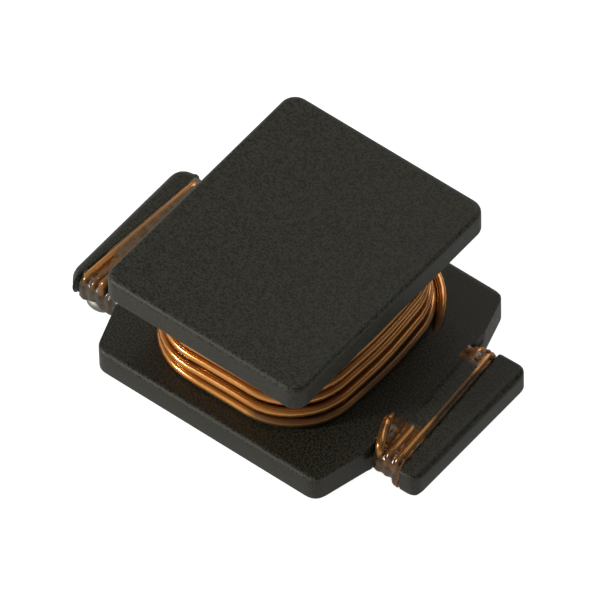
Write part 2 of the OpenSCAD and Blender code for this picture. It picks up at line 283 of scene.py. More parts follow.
core = bmesh.new()
edge_layer = core.verts.layers.float.new("edge")
core_bottom = 0.08
base_top = 0.398
flange_bottom = 1.334
flange_top = 1.648
flange_half_x = 1.265
flange_half_y = 1.55
flange_corner = 0.17
corner_shrink = 0.6
corner_shrinks_over = 0.15
least_corner = 0.05
rim_radius = 0.06
lower_rim_radius = 0.03
rim_margin = 0.015
rim_steps = 8
lower_rim_steps = 5
lower_face_insets = (0.9, 0.3)
upper_face_insets = (0.08, 0.3, 0.9)
levels = [(inset, flange_bottom, 0.0) for inset in lower_face_insets]
for i in range(lower_rim_steps + 1):
    angle = math.radians(90 * i / lower_rim_steps)
    levels.append((lower_rim_radius * (1 - math.sin(angle)),
                   flange_bottom + lower_rim_radius * (1 - math.cos(angle)), math.sin(2 * angle)))
levels.append((0.0, flange_bottom + lower_rim_radius + rim_margin, 0.0))
levels.append((0.0, flange_top - rim_radius - rim_margin, 0.0))
for i in range(rim_steps + 1):
    angle = math.radians(90 * i / rim_steps)
    levels.append((rim_radius * (1 - math.cos(angle)), flange_top - rim_radius * (1 - math.sin(angle)),
                   math.sin(2 * angle)))
levels += [(inset, flange_top, 0.0) for inset in upper_face_insets]
flange_rings = []
for inset, z, worn in levels:
    corner = max(flange_corner - corner_shrink * min(inset, corner_shrinks_over), least_corner)
    outline = rounded_rectangle(flange_half_x - inset, flange_half_y - inset, corner)
    flange_rings.append([(x, y, z) for x, y in outline])
add_loft(core, flange_rings, [worn for inset, z, worn in levels], edge_layer)

post_half_x = 0.72
post_half_y = 0.865
post_corner = 0.333
post_levels = (0.25, 0.45, 1.28, 1.45)
post_outline = rounded_rectangle(post_half_x, post_half_y, post_corner)
add_loft(core, [[(x, y, z) for x, y in post_outline] for z in post_levels])

base_half = 1.555
flare_end_half = 0.87
neck_half = 0.78
ear_start_half = 0.885
ear_outer = 2.25
ear_top = 0.39
ear_inner_drop = 0.02
ear_wall_run = 0.012
ear_widens_over = 0.03
ear_stagger = 0.04
groove_floor = 0.285
groove_slant = 0.0718
recess_start = 1.643
recess_end = 1.997
recess_ceiling = 0.13
steep = 0.004
flare_starts = {-1: 1.37, 1: 1.465}
notch_starts = {-1: 1.6, 1: 1.656}
groove_starts = {-1: 1.57, 1: 1.616}
ear_inners = {-1: 2.045, 1: 1.94}
ear_halves = {-1: 0.96, 1: 0.925}
ear_rounds = {-1: 0.14, 1: 0.09}
ear_corners = {-1: 0.25, 1: 0.13}
ear_extra_rounds = {-1: 0.09, 1: 0.015}
ear_extra_shifts = {-1: -0.015, 1: -0.025}
low_cuts = {-1: 0.1, 1: 0.03}
strands_out = {-1: 0.12, 1: 0.0}
plan_radii = (0.17, 0.04, 0.05, 0.05, 0.02, 0.02)
top_radii = (0.006, 0.02, 0.02, 0.03)
under_radii = (0.015, 0.015, 0.015, 0.02, 0.02, 0.02)
flat_stations = (0.4, 0.8, 1.1, 1.25)


def end_profiles(side):
    """Half width, top and underside of the base from its middle to one ear's end, as (x, value) points.
    The last point of each lies past the end, and only gives the corner before it its direction."""
    inner = ear_inners[side]
    ear_half = ear_halves[side]
    notch = notch_starts[side]
    groove = groove_starts[side]
    recess_near = recess_start + strands_out[side]
    recess_far = recess_end + strands_out[side]
    cut = low_cuts[side]
    past_end = ear_outer + steep
    plan = rounded_way(
        [(0, base_half), (flare_starts[side], base_half), (notch, flare_end_half),
         (notch + steep, neck_half), (inner - steep, neck_half), (inner, ear_start_half),
         (inner + ear_widens_over, ear_half), (ear_outer, ear_half), (past_end, 0.6)],
        [*plan_radii, ear_corners[side]])
    top = rounded_way(
        [(0, base_top), (groove, base_top), (groove + steep, groove_floor), (inner, groove_floor),
         (inner + ear_wall_run, ear_top - ear_inner_drop), (ear_outer, ear_top), (past_end, 0.2)],
        [*top_radii, ear_rounds[side]])
    under = rounded_way(
        [(0, core_bottom), (recess_near, core_bottom), (recess_near + steep, recess_ceiling),
         (recess_far - steep, recess_ceiling), (recess_far, core_bottom), (ear_outer - cut, core_bottom),
         (ear_outer, core_bottom + cut), (past_end, 0.3)],
        under_radii)
    return plan, top, under


profiles = {side: end_profiles(side) for side in (-1, 1)}
stations = [0.0]
for side in (-1, 1):
    places = set(flat_stations)
    for way in profiles[side]:
        places.update(round(point[0], 4) for point in way)
    stations += [side * x for x in places if 0 < x <= ear_outer]
stations.sort()
edge_steps = 5
across_count = 26
across_shares = [-1 + 2 * i / across_count for i in range(across_count + 1)]
base_edge_round = 0.055
neck_edge_round = 0.022
low_edge_round = 0.018
most_round_share = 0.45
extra_round_run = 0.015
extra_shift_run = 0.03
edge_margin = 0.012
slant_start = 1.63
slant_run = 0.1
slant_end_past_wall = 0.12


def edge_arc(wall_y, radius, level, up, from_flat):
    """Points (y, z, wear) of a rounded edge, from the flat face to the wall or the other way round."""
    points = []
    outward = math.copysign(1.0, wall_y)
    for i in range(edge_steps + 1):
        angle = math.radians(90 * i / edge_steps)
        lift = 1 - math.cos(angle) if from_flat else 1 - math.sin(angle)
        inset = 1 - math.sin(angle) if from_flat else 1 - math.cos(angle)
        points.append((wall_y - outward * radius * inset, level + up * radius * lift, math.sin(2 * angle)))
    return points


base_rings = []
base_worn = []
for x in stations:
    side = 1 if x >= 0 else -1
    half_y, top, under = (float(np.interp(abs(x), [p[0] for p in way], [p[1] for p in way]))
                          for way in profiles[side])
    past_wall = abs(x) - ear_inners[side]
    extra_round = ear_extra_rounds[side] * ramp(past_wall, 0.0, extra_round_run)
    most_round = most_round_share * (top - under)
    top_round = min(max(neck_edge_round, base_edge_round - (base_half - half_y)) + extra_round, most_round)
    low_round = min(low_edge_round + extra_round, most_round)
    ring = [(share * (half_y - low_round - edge_margin), under, 0.0) for share in across_shares]
    ring += edge_arc(half_y, low_round, under, 1, True)
    ring += edge_arc(half_y, top_round, top, -1, False)
    ring += [(-share * (half_y - top_round - edge_margin), top, 0.0) for share in across_shares]
    ring += edge_arc(-half_y, top_round, top, -1, True)
    ring += edge_arc(-half_y, low_round, under, 1, False)
    flare_run = notch_starts[side] - flare_starts[side]
    shift = side * (ear_stagger * ramp(abs(x), flare_starts[side], flare_run)
                    + ear_extra_shifts[side] * ramp(past_wall, 0.0, extra_shift_run))
    slant = groove_slant * ramp(abs(x), slant_start, slant_run)
    slant *= ramp(past_wall, slant_end_past_wall, -slant_run)
    placed = []
    for k, (y, z, worn) in enumerate(ring):
        # The recess below is square, so the underside's inner points don't lean.
        leaning = 0.0 if 0 < k < across_count else slant
        placed.append((x - side * leaning * y, y + shift, z))
    base_rings.append(placed)
    base_worn.append([worn for y, z, worn in ring])
add_loft(core, base_rings, base_worn, edge_layer)
ferrite_core = add_mesh_piece("ferrite_core_pressed", core)


# Sintered ferrite: a matt charcoal ceramic with a fine, speckled grain, a few pits and pale specks, and a
# slightly lighter line where the edges have rubbed.
def add_ferrite_surface(tree):
    """Adds the pressed ferrite's surface to a material's tree and returns its shader."""
    place = add_node(tree, "ShaderNodeTexCoord").outputs["Object"]
    grain = add_node(tree, "ShaderNodeTexNoise",
                     {"Scale": 1 / (0.021 * MM), "Detail": 2.0, "Roughness": 0.6},
                     {"Vector": place}).outputs["Fac"]
    tone = add_map_range(tree, grain, (0.4, 0.6))
    cast = add_node(tree, "ShaderNodeTexNoise", {"Scale": 1 / (0.055 * MM), "Detail": 1.0},
                    {"Vector": place}).outputs["Fac"]
    cast_share = add_map_range(tree, cast, (0.35, 0.65))
    pits = add_node(tree, "ShaderNodeTexVoronoi", {"Scale": 1 / (0.13 * MM)}, {"Vector": place})
    pit_mask = add_map_range(tree, pits.outputs["Distance"], (0.06, 0.16))
    dust = add_node(tree, "ShaderNodeTexVoronoi", {"Scale": 1 / (0.62 * MM)}, {"Vector": place})
    dust_mask = add_map_range(tree, dust.outputs["Distance"], (0.022, 0.04), (0.5, 0.0))
    rub = add_node(tree, "ShaderNodeAttribute", {"attribute_name": "edge"}).outputs["Fac"]
    grey = add_colour_mix(tree, tone, "#070805", "#3a3a2e")
    tint = add_colour_mix(tree, cast_share, "#ffe8c8", "#d8eaff")
    speckled = add_node(tree, "ShaderNodeMix",
                        {"data_type": "RGBA", "blend_type": "MULTIPLY", "Factor": 1.0},
                        {"A": grey, "B": tint})
    rubbed = add_colour_mix(tree, add_product(tree, rub, tone), speckled.outputs["Result"], "#3d3e36")
    dusty = add_colour_mix(tree, dust_mask, rubbed, "#8a8a84")
    matt = add_map_range(tree, tone, target=(0.42, 0.66))
    bump = add_node(tree, "ShaderNodeBump", {"Strength": 0.35, "Distance": 0.003 * MM},
                    {"Height": add_product(tree, grain, pit_mask)})
    return add_node(tree, "ShaderNodeBsdfPrincipled",
                    {"Specular IOR Level": 0.34, "Specular Tint": linear("#fffaf0")},
                    {"Base Color": dusty, "Roughness": matt, "Normal": bump.outputs["Normal"]})


ferrite = bpy.data.materials.new("sintered_nickel_zinc_ferrite")
ferrite.use_nodes = True
tree = ferrite.node_tree
tree.nodes.clear()
surface = add_ferrite_surface(tree)
add_node(tree, "ShaderNodeOutputMaterial", links={"Surface": surface.outputs["BSDF"]})
ferrite_core.data.materials.append(ferrite)
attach(ferrite_core, "root")
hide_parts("ferrite_core")


# Winding. One wire from the solder under the left ear to the solder under the right one: it wraps the
# left neck, climbs to the post, winds four layers and comes back down to the right neck.
wire_radius = 0.05
wire_sides = 14
turns = 6
layers = 4
outer_layer = layers - 1
first_layer_radius = 0.403
layer_step = 0.111
corner_x = 0.387
corner_y = 0.532
corner_signs = ((-1, 1), (1, 1), (1, -1), (-1, -1))
front_side = 2
left_side = 3
lead_z = 0.453
lowest_z = 0.563
highest_z = 1.279
outer_pitch = 0.149
resting_z = 0.462
over_lead_z = 0.556
rises_before_end = 0.128
rises_over = 0.058
first_inset = 0.02
inset_step = 0.011
outer_spread = 0.015
close_over = 0.3
most_stray = 0.006
bow_step = 0.007
last_tuck = 0.025
swing_share = 0.35
strand_pitch = 0.112
lead_x = 1.708
strand_y = 0.842
lead_turn_x = 0.125
lead_turn_y = 0.23
right_lead_z = 0.415
wire_end_y = 0.55
neck_wraps = 2
low_z = 0.065
top_z = 0.355
bend = 0.09
arc_steps = 10
side_steps = 5
noise_steps_per_corner = 16
noise_per_layer = 3.7
noise_per_turn = 1.31
noise_per_step = 0.35
noise_row = 0.5


def layer_radius(layer):
    return first_layer_radius + layer_step * layer


def turn_height(layer, share):
    """Height of the wire at a share, 0 to 1, of a layer. Odd layers run down. The outer one has its own
    pitch, comes to rest on the base, and rises at its end to pass over the lead."""
    if layer == outer_layer:
        rise = ramp(share * turns, turns - rises_before_end, rises_over)
        resting = resting_z + (over_lead_z - resting_z) * rise
        return max(highest_z - outer_pitch * turns * share, resting)
    start = lead_z if layer == 0 else (highest_z if layer % 2 else lowest_z)
    end = lowest_z if layer % 2 else highest_z
    return start + (end - start) * share


def layer_inset(layer, z):
    """How far a turn lies inside its layer's radius. Away from the base the layers lie close together."""
    close = ramp(z, resting_z, close_over)
    spread = outer_spread if layer == outer_layer else 0.0
    return (first_inset + inset_step * layer) * close - spread * (1 - close)


def wander(layer, turn_index, step):
    """Small sideways and upward straying of one turn, the same in each run."""
    at = Vector((layer * noise_per_layer + turn_index * noise_per_turn, step * noise_per_step, noise_row))
    far_off = Vector((40, 0, 0))
    return noise.noise(at) * most_stray, noise.noise(at + far_off) * most_stray


def turn_points(layer, turn_index):
    """Points of one turn, clockwise from above. Its sides bow out, more so on the outer layers, apart from
    the outer layer's front. The last turn tucks in at the front left corner and swings out on the left."""
    points = []
    radius = layer_radius(layer)
    last = layer == outer_layer and turn_index == turns - 1
    tuck_in = last_tuck if last else 0.0
    swing_out = layer_radius(layers) - radius if last else 0.0
    quarter = radius * math.pi / 2
    side_lengths = (2 * corner_x, 2 * corner_y, 2 * corner_x, 2 * corner_y)
    whole = 4 * quarter + sum(side_lengths)
    run = 0.0
    for corner, (sign_x, sign_y) in enumerate(corner_signs):
        noise_step = corner * noise_steps_per_corner
        for i in range(arc_steps + 1):
            angle = math.radians(180 - 90 * (corner + i / arc_steps))
            share = (run + quarter * i / arc_steps) / whole
            stray_out, stray_up = wander(layer, turn_index, noise_step + i)
            z = turn_height(layer, (turn_index + share) / turns)
            tuck = tuck_in * i / arc_steps if corner == left_side else 0.0
            reach = radius + stray_out - layer_inset(layer, z) - tuck
            x = sign_x * corner_x + reach * math.cos(angle)
            y = sign_y * corner_y + reach * math.sin(angle)
            points.append((x, y, z + stray_up))
        run += quarter
        side_length = side_lengths[corner]
        bow = 0.0 if corner == front_side and layer == outer_layer else bow_step * (layer + 1)
        out = math.radians(90 - 90 * corner)
        ahead = out - math.pi / 2
        start_x = sign_x * corner_x + radius * math.cos(out)
        start_y = sign_y * corner_y + radius * math.sin(out)
        for i in range(1, side_steps):
            t = i / side_steps
            stray_out, stray_up = wander(layer, turn_index, noise_step + arc_steps + i)
            share = (run + side_length * t) / whole
            z = turn_height(layer, (turn_index + share) / turns)
            push = bow * math.sin(math.pi * t) + stray_out - layer_inset(layer, z)
            if corner == left_side:
                push += swing_out * smooth_ramp(t, 0.0, swing_share) - tuck_in * (1 - t)
            x = start_x + math.cos(ahead) * side_length * t + math.cos(out) * push
            y = start_y + math.sin(ahead) * side_length * t + math.sin(out) * push
            points.append((x, y, z + stray_up))
        run += side_length
    return points


winding = []
for layer in range(layers):
    for turn_index in range(turns):
        winding.extend(turn_points(layer, turn_index))


def neck_way(side):
    """Corners of the wire's way from the base's upper face round a neck."""
    first_x = lead_x + strands_out[side]
    end_z = lead_z if side < 0 else right_lead_z
    corners = [(first_x - lead_turn_x, -strand_y + lead_turn_y, end_z), (first_x, -strand_y, end_z)]
    for wrap in range(neck_wraps):
        inner = first_x + wrap * strand_pitch
        corners += [(inner, -strand_y, low_z), (inner, strand_y, low_z), (inner, strand_y, top_z),
                    (inner + strand_pitch, -strand_y, top_z)]
    outer = first_x + neck_wraps * strand_pitch
    corners += [(outer, -strand_y, low_z), (outer, wire_end_y, low_z)]
    return [Vector((side * x, y + side * ear_stagger, z)) for x, y, z in corners]


def bent_way(corners, steps=6, longest_gap=0.2, gap_step=0.06):
    """Way along the corners, bent round at each one, with points on the long straight parts too."""
    way = []
    for before, corner, after in zip(corners, corners[1:], corners[2:]):
        back = (before - corner).normalized() * bend
        ahead = (after - corner).normalized() * bend
        bend_start = corner + back
        if way and (bend_start - way[-1]).length > longest_gap:
            straight_start = way[-1].copy()
            pieces = int((bend_start - straight_start).length / gap_step)
            way += [straight_start.lerp(bend_start, i / pieces) for i in range(1, pieces)]
        way += [corner + back * (1 - i / steps) ** 2 + ahead * (i / steps) ** 2 for i in range(steps + 1)]
    return way


# The straight leads meet the winding where they just pass its corner circles. The end of the wire goes
# on over the outer layer to the back right corner before it leaves for the base.
right_neck = neck_way(1)
left_neck = list(reversed(neck_way(-1)))
outer_radius = layer_radius(layers)
finish_drop = 0.06
finish = []
to_centre = Vector((corner_x, corner_y)) - right_neck[0].xy
heading = math.atan2(to_centre.y, to_centre.x) - math.asin(outer_radius / to_centre.length)
finish_arc = -math.degrees(heading - math.pi) / 90
for corner, share_end in ((0, 1.0), (1, finish_arc)):
    sign_x, sign_y = corner_signs[corner]
    for i in range(arc_steps + 1):
        arc = share_end * i / arc_steps
        angle = math.radians(180 - 90 * (corner + arc))
        z = over_lead_z - finish_drop * (corner + arc) / (1 + finish_arc)
        finish.append((sign_x * corner_x + outer_radius * math.cos(angle),
                       sign_y * corner_y + outer_radius * math.sin(angle), z))
first_radius = layer_radius(0)
to_first = Vector((-corner_x, corner_y)) - left_neck[-1].xy
start_heading = math.atan2(to_first.y, to_first.x) + math.asin(first_radius / to_first.length)
start_arc = (90 - math.degrees(start_heading)) / 90
join_gap = 0.05
skipped = int(math.ceil((start_arc + join_gap) * arc_steps))
start_angle = math.radians(180 - 90 * start_arc)
start_point = (-corner_x + first_radius * math.cos(start_angle),
               corner_y + first_radius * math.sin(start_angle), lead_z)
body_way = [Vector(start_point)] + [Vector(p) for p in winding[skipped:]] + [Vector(p) for p in finish]
lead_steps = 32
lead_start = body_way[-1].copy()
lead_end = right_neck[0].copy()
lead_straight = [lead_start.lerp(lead_end, i / lead_steps) for i in range(1, lead_steps)]

# The lead's middle sinks just below the base's upper face, where it would lie in the flange's shade,
# because no wire
# # is seen there. No groove is cut for it, so it runs inside the core. Pairs are a ramp's start and length.
lead_back_y = 1.1
lead_front_y = -0.52
lead_cover = 0.004
lead_deep = base_top - wire_radius - lead_cover
sinks_at_back = (1.02, -0.34)
sinks_at_front = (lead_front_y, 0.18)
for point in body_way[-arc_steps:] + lead_straight:
    if point.x > corner_x and point.y < lead_back_y:
        depth = smooth_ramp(point.y, *sinks_at_back) * smooth_ramp(point.y, *sinks_at_front)
        point.z += (lead_deep - point.z) * depth

# Shares of dull dark colour on the wire: resin film in grooves and notches, painted shade in the notches,
# on the lead and on the winding's right side.
notch_resin_and_shade = 0.8
left_groove_dark = 0.3
left_inner_dark = 0.6
right_groove_dark = 0.9
right_groove_least = 0.35
lead_front_painted_shade = 0.8
lead_back_painted_shade = 0.6
right_side_painted_shade = 0.28
notch_margin = 0.02
left_inner_x = -1.96
left_inner_y = -0.3
left_cover = (0.56, -0.25)
right_back_cover = (0.62, -0.14)
right_front_cover = (0.42, -0.27)
beside_lead = 0.06
above_lead = 0.03
below_winding = 0.04
lead_front_shade_fade = (lead_front_y, 0.12)
lead_back_shade_fade = (1.05, -0.3)
right_side_shade_fade = (0.85, 0.2)


def wire_film_and_painted_shade(point):
    """Share of dull dark colour on the wire: resin film in the grooves, resin film and painted shade in the
    notches, painted shade on the lead where it crosses the base, and a little painted shade on the
    winding's right side."""
    groove_y = abs(point.y - math.copysign(ear_stagger, point.x))
    if abs(point.x) > groove_starts[1]:
        # Strands low in a notch: resin film and painted shade of the pocket under the ear.
        if point.z <= top_z - notch_margin:
            return notch_resin_and_shade
        if point.x < 0:
            inner_dark = left_inner_dark if point.y < left_inner_y and point.x > left_inner_x else 0.0
            return max(left_groove_dark * ramp(groove_y, *left_cover), inner_dark)
        covered = ramp(groove_y, *(right_back_cover if point.y > 0 else right_front_cover))
        return max(right_groove_dark * covered, right_groove_least)
    # Painted shade: the lead is darkened where it crosses the base in the flange's shadow.
    if lead_end.x > point.x > lead_start.x - beside_lead and point.z < lead_z + above_lead:
        return lead_front_painted_shade * ramp(point.y, *lead_front_shade_fade)
    if point.x > corner_x and point.y < lead_back_y and point.z < lowest_z - below_winding:
        return lead_back_painted_shade * ramp(point.y, *lead_back_shade_fade)
    # Painted shade: the winding's right side is darkened a little.
    return right_side_painted_shade * ramp(point.x, *right_side_shade_fade)


route = [left_neck[0]] + bent_way(left_neck + [body_way[0]]) + body_way + lead_straight
route += bent_way([lead_straight[-1]] + right_neck) + [right_neck[-1]]
route_edges = [(i, i + 1) for i in range(len(route) - 1)]
route_mesh = bpy.data.meshes.new("wire_route")
route_mesh.from_pydata([tuple(point * MM) for point in route], route_edges, [])
resin_film_and_shade = route_mesh.attributes.new("resin_film_and_shade", "FLOAT", "POINT")
resin_film_and_shade.data.foreach_set("value", [wire_film_and_painted_shade(point) for point in route])
route_object = bpy.data.objects.new("wire_route", route_mesh)
scene.collection.objects.link(route_object)
group = bpy.data.node_groups.new("round_wire_along_route", "GeometryNodeTree")
group.interface.new_socket("Geometry", in_out="INPUT", socket_type="NodeSocketGeometry")
radius_socket = group.interface.new_socket("Wire radius", in_out="INPUT", socket_type="NodeSocketFloat")
sides_socket = group.interface.new_socket("Sides", in_out="INPUT", socket_type="NodeSocketInt")
material_socket = group.interface.new_socket("Enamel", in_out="INPUT", socket_type="NodeSocketMaterial")
group.interface.new_socket("Geometry", in_out="OUTPUT", socket_type="NodeSocketGeometry")
entry = add_node(group, "NodeGroupInput")
curve = add_node(group, "GeometryNodeMeshToCurve", links={"Mesh": entry.outputs["Geometry"]})
along = add_node(group, "GeometryNodeSplineParameter")
marked = add_node(group, "GeometryNodeStoreNamedAttribute",
                  {"data_type": "FLOAT", "domain": "POINT", "Name": "along"},
                  {"Geometry": curve.outputs["Curve"], "Value": along.outputs["Length"]})
section = add_node(group, "GeometryNodeCurvePrimitiveCircle", {"mode": "RADIUS"},
                   {"Resolution": entry.outputs["Sides"], "Radius": entry.outputs["Wire radius"]})
tube = add_node(group, "GeometryNodeCurveToMesh", {"Fill Caps": True},
                {"Curve": marked.outputs["Geometry"], "Profile Curve": section.outputs["Curve"]})
smooth = add_node(group, "GeometryNodeSetShadeSmooth", links={0: tube.outputs["Mesh"]})
plain = add_node(group, "GeometryNodeRealizeInstances", links={"Geometry": smooth.outputs[0]})
coated = add_node(group, "GeometryNodeSetMaterial", links={"Geometry": plain.outputs["Geometry"],
                                                          "Material": entry.outputs["Enamel"]})
add_node(group, "NodeGroupOutput", links={"Geometry": coated.outputs["Geometry"]})

# Enamelled copper: bright copper under a clear amber enamel, so golden highlights with deep brown between
# # the turns, and faint streaks along the wire. A dull dark colour is mixed in: resin film in the grooves,
# resin film
# # and painted shade in the notches, painted shade where the lead crosses the base, and a little on the
# right side.
enamel = bpy.data.materials.new("amber_enamelled_copper")
enamel.use_nodes = True
tree = enamel.node_tree
tree.nodes.clear()
place = add_node(tree, "ShaderNodeTexCoord").outputs["Object"]
run_along = add_node(tree, "ShaderNodeAttribute", {"attribute_name": "along"})
resin_film_and_shade_share = add_node(tree, "ShaderNodeAttribute", {"attribute_name": "resin_film_and_shade"})
streaks = add_node(tree, "ShaderNodeTexNoise", {"Scale": 1 / (0.03 * MM), "Detail": 3.0},
                   {"Vector": place}).outputs["Fac"]
patches = add_node(tree, "ShaderNodeTexNoise",
                   {"noise_dimensions": "1D", "Scale": 1 / (0.9 * MM), "Detail": 2.0},
                   {"W": run_along.outputs["Fac"]}).outputs["Fac"]
bump = add_node(tree, "ShaderNodeBump", {"Strength": 0.12, "Distance": 0.002 * MM}, {"Height": streaks})
bright = add_node(tree, "ShaderNodeBsdfPrincipled",
                  {"Metallic": 0.75, "Coat Weight": 0.6, "Coat Roughness": 0.12,
                   "Coat Tint": linear("#e0a850")},
                  {"Base Color": add_colour_mix(tree, patches, "#cc9448", "#e6b870"),
                   "Roughness": add_map_range(tree, streaks, target=(0.17, 0.26)),
                   "Normal": bump.outputs["Normal"]})
# Dull dark colour: resin film in the grooves, and painted shade on the lead, in the notches and on the
# right side.
dull_film_and_shade_bsdf = add_node(tree, "ShaderNodeBsdfPrincipled", {"Roughness": 0.5, "Specular IOR Level": 0.3},
                {"Base Color": add_colour_mix(tree, streaks, "#231a12", "#33281c")})
blend = add_node(tree, "ShaderNodeMixShader", links={"Fac": resin_film_and_shade_share.outputs["Fac"],
                                                     1: bright.outputs["BSDF"], 2: dull_film_and_shade_bsdf.outputs["BSDF"]})
add_node(tree, "ShaderNodeOutputMaterial", links={"Surface": blend.outputs["Shader"]})

tube_modifier = route_object.modifiers.new("wire", "NODES")
tube_modifier.node_group = group
tube_modifier[radius_socket.identifier] = wire_radius * MM
tube_modifier[sides_socket.identifier] = wire_sides
tube_modifier[material_socket.identifier] = enamel
evaluated = route_object.evaluated_get(bpy.context.evaluated_depsgraph_get())
wire_mesh = bpy.data.meshes.new_from_object(evaluated)
bpy.data.objects.remove(route_object)
coil = bpy.data.objects.new("coil_wire_enamelled", wire_mesh)
scene.collection.objects.link(coil)
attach(coil, "root")
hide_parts("coil_wire")


# Varnish in the grooves. It is flush with the base and as dark as the ferrite over the covered strands,
# thins to an amber film where the strands come out, and fills the notches behind them with brown resin.
def make_varnish(name, deep, shallow):
    """Makes the varnish of one groove, from its colour where it is thick to its colour where it is thin."""
    material = bpy.data.materials.new(name)
    material.use_nodes = True
    tree = material.node_tree
    tree.nodes.clear()
    place = add_node(tree, "ShaderNodeTexCoord").outputs["Object"]
    flow = add_node(tree, "ShaderNodeTexNoise", {"Scale": 1 / (0.07 * MM), "Detail": 3.0},
                    {"Vector": place}).outputs["Fac"]
    amber = add_colour_mix(tree, add_map_range(tree, flow, (0.35, 0.65)), deep, shallow)
    bump = add_node(tree, "ShaderNodeBump", {"Strength": 0.4, "Distance": 0.006 * MM}, {"Height": flow})
    resin = add_node(tree, "ShaderNodeBsdfPrincipled", {"Roughness": 0.16},
                     {"Base Color": amber, "Normal": bump.outputs["Normal"]})
    dark_fill = add_ferrite_surface(tree)
    film = add_node(tree, "ShaderNodeAttribute", {"attribute_name": "film"})
    blend = add_node(tree, "ShaderNodeMixShader", links={"Fac": film.outputs["Fac"],
                                                         1: dark_fill.outputs["BSDF"],
                                                         2: resin.outputs["BSDF"]})
    add_node(tree, "ShaderNodeOutputMaterial", links={"Surface": blend.outputs["Shader"]})
    return material


varnishes = {-1: make_varnish("cloudy_amber_varnish", "#644522", "#7c6040"),
             1: make_varnish("clear_amber_varnish", "#4a2a0e", "#94602a")}
along_steps = 72
across_steps = 36
curtain_steps = 16
strand_slope = strand_pitch / (2 * strand_y)
flush_z = base_top + 0.0012
feather = 0.1
groove_ends = 0.765
droop_start = 0.7
end_droop = 0.035
front_opening = (0.36, 0.16)
back_opening = (0.56, 0.1)
back_clear = 0.12
overlap = 0.004
bed_gap = 0.002
film_thickness = 0.08
strand_swell = 0.016
strand_width = 0.045
thread_offset = 0.056
thread_swell = 0.034
thread_width = 0.022
lip_drop = 0.006
strand_lift = 0.011
film_ripple = 0.004
ripple_scale = 12
ripple_seed = 5
past_start = -0.004
past_run = 0.026
beside_run = 0.02
beside_low = 0.012
beside_short = 0.016
beside_loss = 0.6
lift_start = -0.09
lift_run = 0.06
film_climb = 0.03
film_climb_run = 0.08
opens_past_edge = 0.002
amber_run = 0.06
tucked_under = 0.012
middle_films = {-1: 0.7, 1: 0.0}
strand_films = {-1: 0.8, 1: 0.4}
curtain_low = 0.006
curtain_height = 0.384
curtain_depth = 0.055
curtain_belly = 0.08
curtain_ripple = 0.012
curtain_ripple_scale = 11
curtain_seed = 7
curtain_back = 0.03
curtain_bed = 0.012
curtain_falls = {(-1, -1): 0.1, (-1, 1): 0.02, (1, -1): 0.1, (1, 1): 0.1}
belly_ramp = (0.01, 0.09)
fall_ramp = (0.28, 0.11)
fillet_ramp = (0.12, 0.1)
fillet_run = 0.14
lobe_share = 0.1
curtain_films = {(-1, -1): 0.22, (-1, 1): 0.8, (1, -1): 0.55, (1, 1): 0.55}
ear_fillets = {-1: 0.0, 1: 0.06}
bead_flatness = 0.75
beads = {-1: (), 1: ((1.735, -0.755, 0.385, 0.034), (1.775, 0.70, 0.4, 0.03), (1.80, 0.86, 0.39, 0.026))}


def ridge(x, middle, width):
    """Height, up to 1, of the film's swell over a strand."""
    return math.exp(-((x - middle) / width) ** 2)


def groove_fill(side):
    """Rings of the varnish in one groove, and the amber share of each of their points."""
    fill_start = groove_starts[side]
    inner_x = fill_start - feather
    rings = []
    values = []
    for step in range(along_steps + 1):
        y = -groove_ends + 2 * groove_ends * step / along_steps
        opening_start, opening_run = front_opening if y < 0 else back_opening
        thin = smooth_ramp(abs(y), opening_start, opening_run)
        clear = 1.0 if y < 0 else back_clear
        ends = ramp(abs(y), droop_start, groove_ends - droop_start)
        covered_x = lead_x + strands_out[side] + strand_pitch / 2 - strand_slope * y
        bare_x = covered_x + strand_pitch
        thread_x = covered_x - thread_offset
        wall_x = ear_inners[side] - groove_slant * y + overlap
        ring = []
        amber_shares = []
        for i in range(across_steps + 1):
            x = inner_x + (wall_x - inner_x) * i / across_steps
            lip = smooth_ramp(x, inner_x, feather)
            past = smooth_ramp(x, bare_x + past_start, past_run)
            beside = smooth_ramp(x, bare_x + beside_run, beside_run)
            cover = flush_z - lip_drop * (1 - lip)
            cover += strand_lift * smooth_ramp(x, covered_x + lift_start, lift_run)
            beside_z = top_z + beside_low + (ear_top - top_z - beside_short) * beside
            thick_z = cover * (1 - past) + beside_z * past
            swell = strand_swell * (ridge(x, covered_x, strand_width) + ridge(x, bare_x, strand_width))
            if y < 0:
                swell += thread_swell * ridge(x, thread_x, thread_width)
            film_z = groove_floor + film_thickness + swell
            film_z += film_climb * (1 - smooth_ramp(x, fill_start, film_climb_run))
            opened = 0.0 if x < fill_start + opens_past_edge else thin * clear
            z = thick_z * (1 - opened) + film_z * opened - end_droop * ends * ends * opened
            ripple_place = Vector((x * ripple_scale, y * ripple_scale, side * ripple_seed))
            z += film_ripple * opened * noise.noise(ripple_place)
            ring.append((x, z))
            amber_shares.append(max(thin * smooth_ramp(x, fill_start - amber_run, amber_run),
                                    strand_films[side] * past * (1 - beside_loss * beside),
                                    middle_films[side] * lip))
        ring += [(wall_x, groove_floor - bed_gap), (fill_start + overlap, groove_floor - bed_gap),
                 (fill_start + overlap, base_top - tucked_under)]
        amber_shares += [1.0, 1.0, 0.0]
        rings.append([(side * x, y + side * ear_stagger, z) for x, z in ring])
        values.append(amber_shares)
    return rings, values


